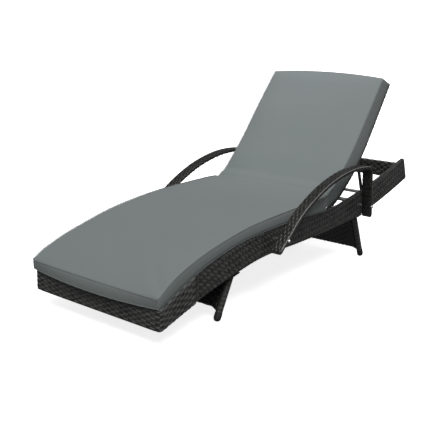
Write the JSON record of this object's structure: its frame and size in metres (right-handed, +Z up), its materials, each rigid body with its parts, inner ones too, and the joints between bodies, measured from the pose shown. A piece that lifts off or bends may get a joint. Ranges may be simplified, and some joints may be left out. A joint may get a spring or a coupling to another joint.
{
  "type": "reclining sun lounger",
  "caption": "Low garden sun lounger with a curved woven frame, arched armrests, a propped reclining backrest and a long grey box cushion.",
  "frame": {"origin": "on the floor, under the centre of the whole object's box, with the backrest raised", "axes": "+X to the right for someone looking from the foot end to the head end, +Y along the lounger from the foot end to the head end, +Z up"},
  "size_m": [0.78, 1.95, 0.8643],
  "materials": {
    "rattan": "flat synthetic rattan strip in charcoal, finely ribbed, satin",
    "coated_steel": "black powder coat, fine orange peel",
    "bare_steel": "zinc-plated fasteners",
    "rubber": "matte moulded foot cap",
    "fabric": "plain-woven polyester, mid grey, matt"
  },
  "bodies": {
    "base": {"foot_weave_left": "rattan", "foot_weave_right": "rattan", "side_weave_left": "rattan", "side_weave_right": "rattan", "side_frame_left": "coated_steel", "side_frame_right": "coated_steel", "foot_weave_across": "rattan", "foot_frame_across": "coated_steel", "head_weave_across": "rattan", "head_frame_across": "coated_steel", "seat_deck": "rattan", "cross_tube_foot": "coated_steel", "cross_tube_front": "coated_steel", "cross_tube_middle": "coated_steel", "cross_tube_hinge": "coated_steel", "cross_tube_rear": "coated_steel", "front_leg_left": "rattan", "front_leg_right": "rattan", "front_foot_cap_left": "rubber", "front_foot_cap_right": "rubber", "front_leg_bracket_left": "bare_steel", "front_leg_bracket_right": "bare_steel", "rear_leg_left": "rattan", "rear_leg_right": "rattan", "rear_foot_cap_left": "rubber", "rear_foot_cap_right": "rubber", "rear_leg_bracket_left": "bare_steel", "rear_leg_bracket_right": "bare_steel", "front_leg_panel": "rattan", "rear_leg_panel": "rattan", "arm_weave_left": "rattan", "arm_weave_right": "rattan", "arm_frame_left": "coated_steel", "arm_frame_right": "coated_steel", "arm_front_bolt_left": "bare_steel", "arm_front_bolt_right": "bare_steel", "arm_post_bolt_left": "bare_steel", "arm_post_bolt_right": "bare_steel", "hinge_plate_left": "coated_steel", "hinge_plate_right": "coated_steel", "hinge_pin_left": "bare_steel", "hinge_pin_right": "bare_steel", "rack_left": "coated_steel", "rack_right": "coated_steel", "seat_cushion": "fabric"},
    "backrest": {"back_stile_left": "rattan", "back_stile_right": "rattan", "back_top_tube": "coated_steel", "back_middle_tube": "coated_steel", "back_bottom_tube": "coated_steel", "back_weave": "rattan", "prop_lug_left": "coated_steel", "prop_lug_right": "coated_steel", "back_cushion": "fabric"},
    "prop": {"prop_strap_left": "coated_steel", "prop_strap_right": "coated_steel", "prop_bar": "coated_steel", "prop_pin_left": "bare_steel", "prop_pin_right": "bare_steel"}
  },
  "joints": [
    {"name": "back_recline", "type": "hinge", "parent": "base", "child": "backrest", "pos_m": [0, 0.195, 0.289], "axis": [-1, 0, 0], "range_deg": [0, 33]},
    {"name": "prop_swing", "type": "hinge", "parent": "backrest", "child": "prop", "pos_m": [0, 0.525, 0.512], "axis": [1, 0, 0], "range_deg": [0, 115.95]}
  ],
  "couplings": [
    {"joint": "prop_swing", "follows": "back_recline", "ratio": 3.5121}
  ]
}
